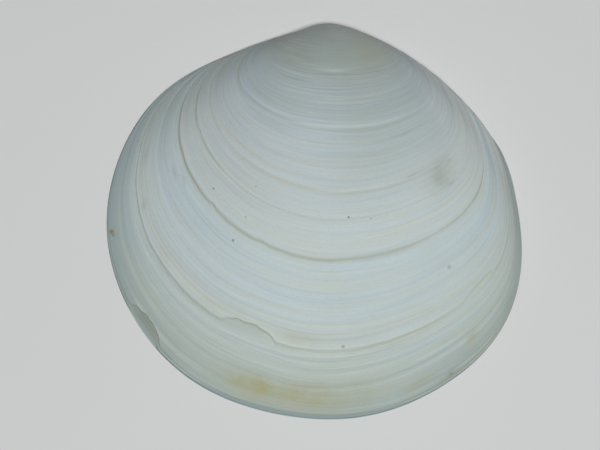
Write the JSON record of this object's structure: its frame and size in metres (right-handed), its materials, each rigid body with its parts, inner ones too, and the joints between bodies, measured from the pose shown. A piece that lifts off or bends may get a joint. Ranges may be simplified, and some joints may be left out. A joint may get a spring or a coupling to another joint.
{
  "type": "tellin shell valve",
  "caption": "One domed valve of a tellin seashell with stepped growth ledges, resting hollow side down on its margin.",
  "frame": {"origin": "middle of the valve's bounding box, on the plane of its margin", "axes": "+X towards the back end of the animal, along the valve's length; +Y towards the hinge; +Z out of the domed outer side"},
  "size_m": [0.07, 0.068, 0.015],
  "materials": {
    "shell": "satin"
  },
  "bodies": {
    "root": {"valve": "shell"}
  },
  "joints": []
}
